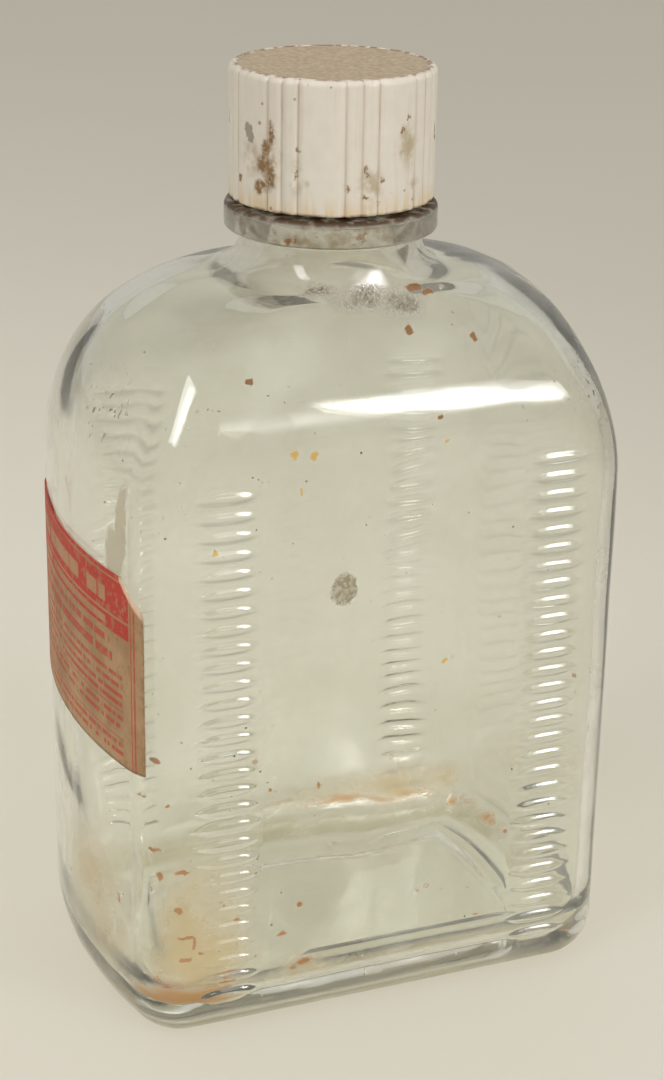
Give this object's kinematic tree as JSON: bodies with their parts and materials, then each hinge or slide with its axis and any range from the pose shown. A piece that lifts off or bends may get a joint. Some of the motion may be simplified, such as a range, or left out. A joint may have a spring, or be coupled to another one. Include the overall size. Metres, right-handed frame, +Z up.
{
  "type": "medicine bottle",
  "caption": "Flat glass pint bottle with finger ribs down both broad faces, a fluted screw cap that unscrews, a liner and a side label.",
  "frame": {"origin": "centre of the footprint, on the surface the bottle stands on", "axes": "+Z up through the cap, +X across the broad faces to the right, -Y the front, label on -X"},
  "size_m": [0.0904, 0.0606, 0.1541],
  "materials": {
    "clear_glass": "clear blown glass with a faint green tint",
    "ivory_plastic": "aged ivory moulded plastic, worn and grimy",
    "pulpboard": "grey-brown pulpboard",
    "waxed_facing": "waxed white paper",
    "label_paper": "aged uncoated paper printed in red"
  },
  "bodies": {
    "bottle": {"glass_bottle": "clear_glass", "paper_label": "label_paper"},
    "liner": {"liner_backing": "pulpboard", "liner_facing": "waxed_facing"},
    "cap": {"screw_cap": "ivory_plastic"}
  },
  "joints": [
    {"name": "cap_lift", "type": "slide", "parent": "bottle", "child": "liner", "axis": [0, 0, 1], "range_m": [0, 0.0191]},
    {"name": "cap_spin", "type": "hinge", "parent": "liner", "child": "cap", "pos_m": [0, 0, 0.1437], "axis": [0, 0, 1], "range_deg": [0, 1620]}
  ],
  "couplings": [
    {"joint": "cap_lift", "follows": "cap_spin", "m_per_rad": 0.00067376}
  ]
}
